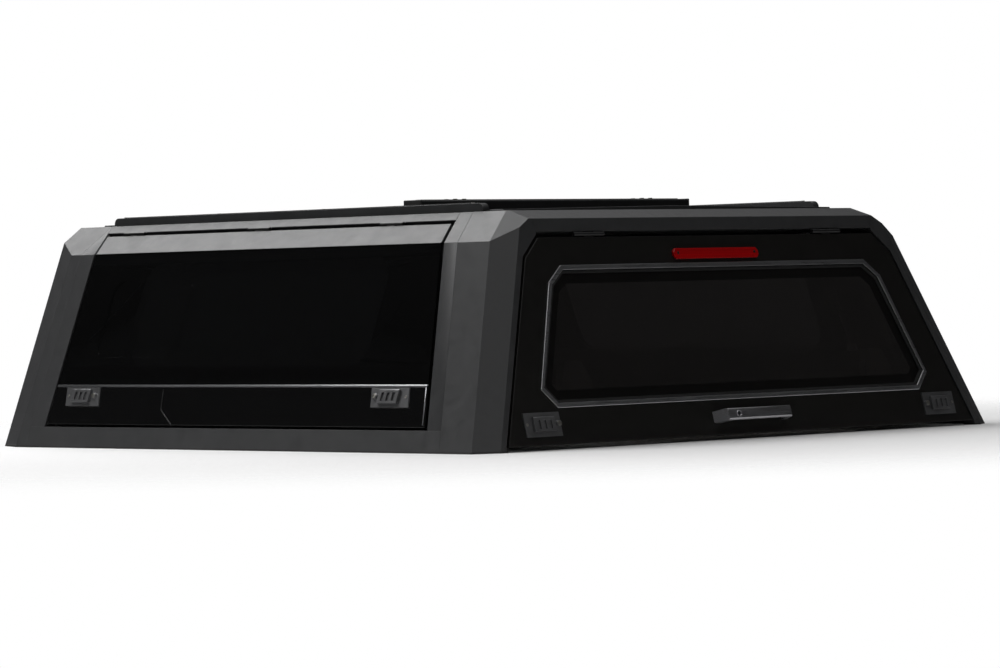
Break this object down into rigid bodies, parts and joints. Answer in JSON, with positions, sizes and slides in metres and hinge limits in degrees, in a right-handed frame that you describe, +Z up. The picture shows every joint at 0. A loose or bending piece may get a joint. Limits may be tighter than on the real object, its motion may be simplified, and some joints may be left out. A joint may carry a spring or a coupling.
{
  "type": "pickup truck canopy",
  "caption": "Steel canopy for a pickup truck's bed, with a faceted roof, glazed lift-up side doors, a lift-up rear door, gas struts, latches and roof rails.",
  "frame": {"origin": "on the plane of the bed rails, on the centre line, midway between the four outer bolt holes", "axes": "+Z up, +Y towards the truck's cab, +X to the truck's right"},
  "size_m": [1.762, 1.7707, 0.576],
  "materials": {
    "powder_coat": "dark charcoal textured powder coat",
    "door_coat": "black satin powder coat",
    "gloss_panel": "gloss black",
    "tinted_glass": "dark tinted glass",
    "trim_metal": "satin grey metal trim",
    "black_metal": "black semi-gloss",
    "red_lens": "red lens",
    "latch_metal": "grey satin cast metal",
    "zinc_steel": "plated steel",
    "chrome_rod": "polished strut rod",
    "seal_rubber": "matt black rubber"
  },
  "bodies": {
    "frame": {"left_side_sill": "powder_coat", "left_front_post": "powder_coat", "left_rear_post": "powder_coat", "left_top_rail": "powder_coat", "left_rear_corner": "powder_coat", "left_front_corner": "powder_coat", "right_side_sill": "powder_coat", "right_front_post": "powder_coat", "right_rear_post": "powder_coat", "right_top_rail": "powder_coat", "right_rear_corner": "powder_coat", "right_front_corner": "powder_coat", "front_wall": "powder_coat", "front_header": "powder_coat", "front_window_glass": "tinted_glass", "rear_header": "powder_coat", "roof_panel": "powder_coat", "roof_rails": "powder_coat", "roof_bar": "black_metal", "frame_hinge_leaves": "black_metal", "frame_strut_brackets": "zinc_steel", "base_seals": "seal_rubber"},
    "left_door": {"left_door_top_rail": "powder_coat", "left_door_glass": "tinted_glass", "left_door_lower_panel": "gloss_panel", "left_door_stiles": "door_coat", "left_door_hinge_leaves": "black_metal", "left_door_strut_studs": "zinc_steel", "left_door_latch_plates": "latch_metal"},
    "right_door": {"right_door_top_rail": "powder_coat", "right_door_glass": "tinted_glass", "right_door_lower_panel": "gloss_panel", "right_door_stiles": "door_coat", "right_door_hinge_leaves": "black_metal", "right_door_strut_studs": "zinc_steel", "right_door_latch_plates": "latch_metal"},
    "rear_door": {"rear_door_panel": "door_coat", "rear_window_glass": "tinted_glass", "rear_window_trim": "trim_metal", "brake_light": "red_lens", "rear_door_inner_latches": "latch_metal", "rear_door_hinge_leaves": "black_metal", "rear_door_strut_studs": "zinc_steel", "rear_door_latch_plates": "latch_metal", "rear_door_handle": "trim_metal"},
    "left_strut_tubes": {"left_door_strut_tubes": "black_metal"},
    "left_strut_rods": {"left_door_strut_rods": "chrome_rod"},
    "right_strut_tubes": {"right_door_strut_tubes": "black_metal"},
    "right_strut_rods": {"right_door_strut_rods": "chrome_rod"},
    "rear_left_tube": {"rear_left_strut_tube": "black_metal"},
    "rear_left_rod": {"rear_left_strut_rod": "chrome_rod"},
    "rear_right_tube": {"rear_right_strut_tube": "black_metal"},
    "rear_right_rod": {"rear_right_strut_rod": "chrome_rod"},
    "left_door_rear_paddle": {"left_door_rear_paddle": "latch_metal"},
    "left_door_front_paddle": {"left_door_front_paddle": "latch_metal"},
    "right_door_rear_paddle": {"right_door_rear_paddle": "latch_metal"},
    "right_door_front_paddle": {"right_door_front_paddle": "latch_metal"},
    "rear_door_left_paddle": {"rear_door_left_paddle": "latch_metal"},
    "rear_door_right_paddle": {"rear_door_right_paddle": "latch_metal"}
  },
  "joints": [
    {"name": "left_door_hinge", "type": "hinge", "parent": "frame", "child": "left_door", "pos_m": [-0.62026, 0, 0.51808], "axis": [0, 1, 0], "range_deg": [0, 78]},
    {"name": "right_door_hinge", "type": "hinge", "parent": "frame", "child": "right_door", "pos_m": [0.62026, 0, 0.51808], "axis": [0, -1, 0], "range_deg": [0, 78]},
    {"name": "rear_door_hinge", "type": "hinge", "parent": "frame", "child": "rear_door", "pos_m": [0, -0.74744, 0.483], "axis": [-1, 0, 0], "range_deg": [0, 80]},
    {"name": "left_strut_swing", "type": "hinge", "parent": "frame", "child": "left_strut_tubes", "pos_m": [-0.59026, -0.5275, 0.47608], "axis": [0, 1, 0], "range_deg": [0, 75.83]},
    {"name": "left_strut_slide", "type": "slide", "parent": "left_strut_tubes", "child": "left_strut_rods", "axis": [-0.4804, 0, -0.8771], "range_m": [0, 0.06355]},
    {"name": "right_strut_swing", "type": "hinge", "parent": "frame", "child": "right_strut_tubes", "pos_m": [0.59026, -0.5275, 0.47608], "axis": [0, -1, 0], "range_deg": [0, 75.83]},
    {"name": "right_strut_slide", "type": "slide", "parent": "right_strut_tubes", "child": "right_strut_rods", "axis": [0.4804, 0, -0.8771], "range_m": [0, 0.06355]},
    {"name": "rear_left_strut_swing", "type": "hinge", "parent": "frame", "child": "rear_left_tube", "pos_m": [-0.735, -0.6905, 0.17], "axis": [0.7922, -0.2321, -0.5645], "range_deg": [0, 19.32]},
    {"name": "rear_left_strut_slide", "type": "slide", "parent": "rear_left_tube", "child": "rear_left_rod", "axis": [0.5568, -0.1039, 0.8241], "range_m": [0, 0.06935]},
    {"name": "rear_right_strut_swing", "type": "hinge", "parent": "frame", "child": "rear_right_tube", "pos_m": [0.735, -0.6905, 0.17], "axis": [0.7922, 0.2321, 0.5645], "range_deg": [0, 19.32]},
    {"name": "rear_right_strut_slide", "type": "slide", "parent": "rear_right_tube", "child": "rear_right_rod", "axis": [-0.5568, -0.1039, 0.8241], "range_m": [0, 0.06935]},
    {"name": "left_door_rear_paddle_hinge", "type": "hinge", "parent": "left_door", "child": "left_door_rear_paddle", "pos_m": [-0.83345, -0.5295, 0.13844], "axis": [0, 1, 0], "range_deg": [0, 25], "stiffness_Nm_per_rad": 0.2},
    {"name": "left_door_front_paddle_hinge", "type": "hinge", "parent": "left_door", "child": "left_door_front_paddle", "pos_m": [-0.83345, 0.5745, 0.13844], "axis": [0, 1, 0], "range_deg": [0, 25], "stiffness_Nm_per_rad": 0.2},
    {"name": "right_door_rear_paddle_hinge", "type": "hinge", "parent": "right_door", "child": "right_door_rear_paddle", "pos_m": [0.83345, -0.5295, 0.13844], "axis": [0, -1, 0], "range_deg": [0, 25], "stiffness_Nm_per_rad": 0.2},
    {"name": "right_door_front_paddle_hinge", "type": "hinge", "parent": "right_door", "child": "right_door_front_paddle", "pos_m": [0.83345, 0.5745, 0.13844], "axis": [0, -1, 0], "range_deg": [0, 25], "stiffness_Nm_per_rad": 0.2},
    {"name": "rear_door_left_paddle_hinge", "type": "hinge", "parent": "rear_door", "child": "rear_door_left_paddle", "pos_m": [-0.68, -0.8625, 0.07303], "axis": [-1, 0, 0], "range_deg": [0, 25], "stiffness_Nm_per_rad": 0.2},
    {"name": "rear_door_right_paddle_hinge", "type": "hinge", "parent": "rear_door", "child": "rear_door_right_paddle", "pos_m": [0.68, -0.8625, 0.07303], "axis": [-1, 0, 0], "range_deg": [0, 25], "stiffness_Nm_per_rad": 0.2}
  ],
  "couplings": [
    {"joint": "left_strut_swing", "follows": "left_door_hinge", "ratio": 0.97168},
    {"joint": "left_strut_slide", "follows": "left_door_hinge", "m_per_rad": 0.046661},
    {"joint": "right_strut_swing", "follows": "right_door_hinge", "ratio": 0.97168},
    {"joint": "right_strut_slide", "follows": "right_door_hinge", "m_per_rad": 0.046661},
    {"joint": "rear_left_strut_swing", "follows": "rear_door_hinge", "ratio": 0.24139},
    {"joint": "rear_left_strut_slide", "follows": "rear_door_hinge", "m_per_rad": 0.049646},
    {"joint": "rear_right_strut_swing", "follows": "rear_door_hinge", "ratio": 0.24139},
    {"joint": "rear_right_strut_slide", "follows": "rear_door_hinge", "m_per_rad": 0.049646}
  ]
}
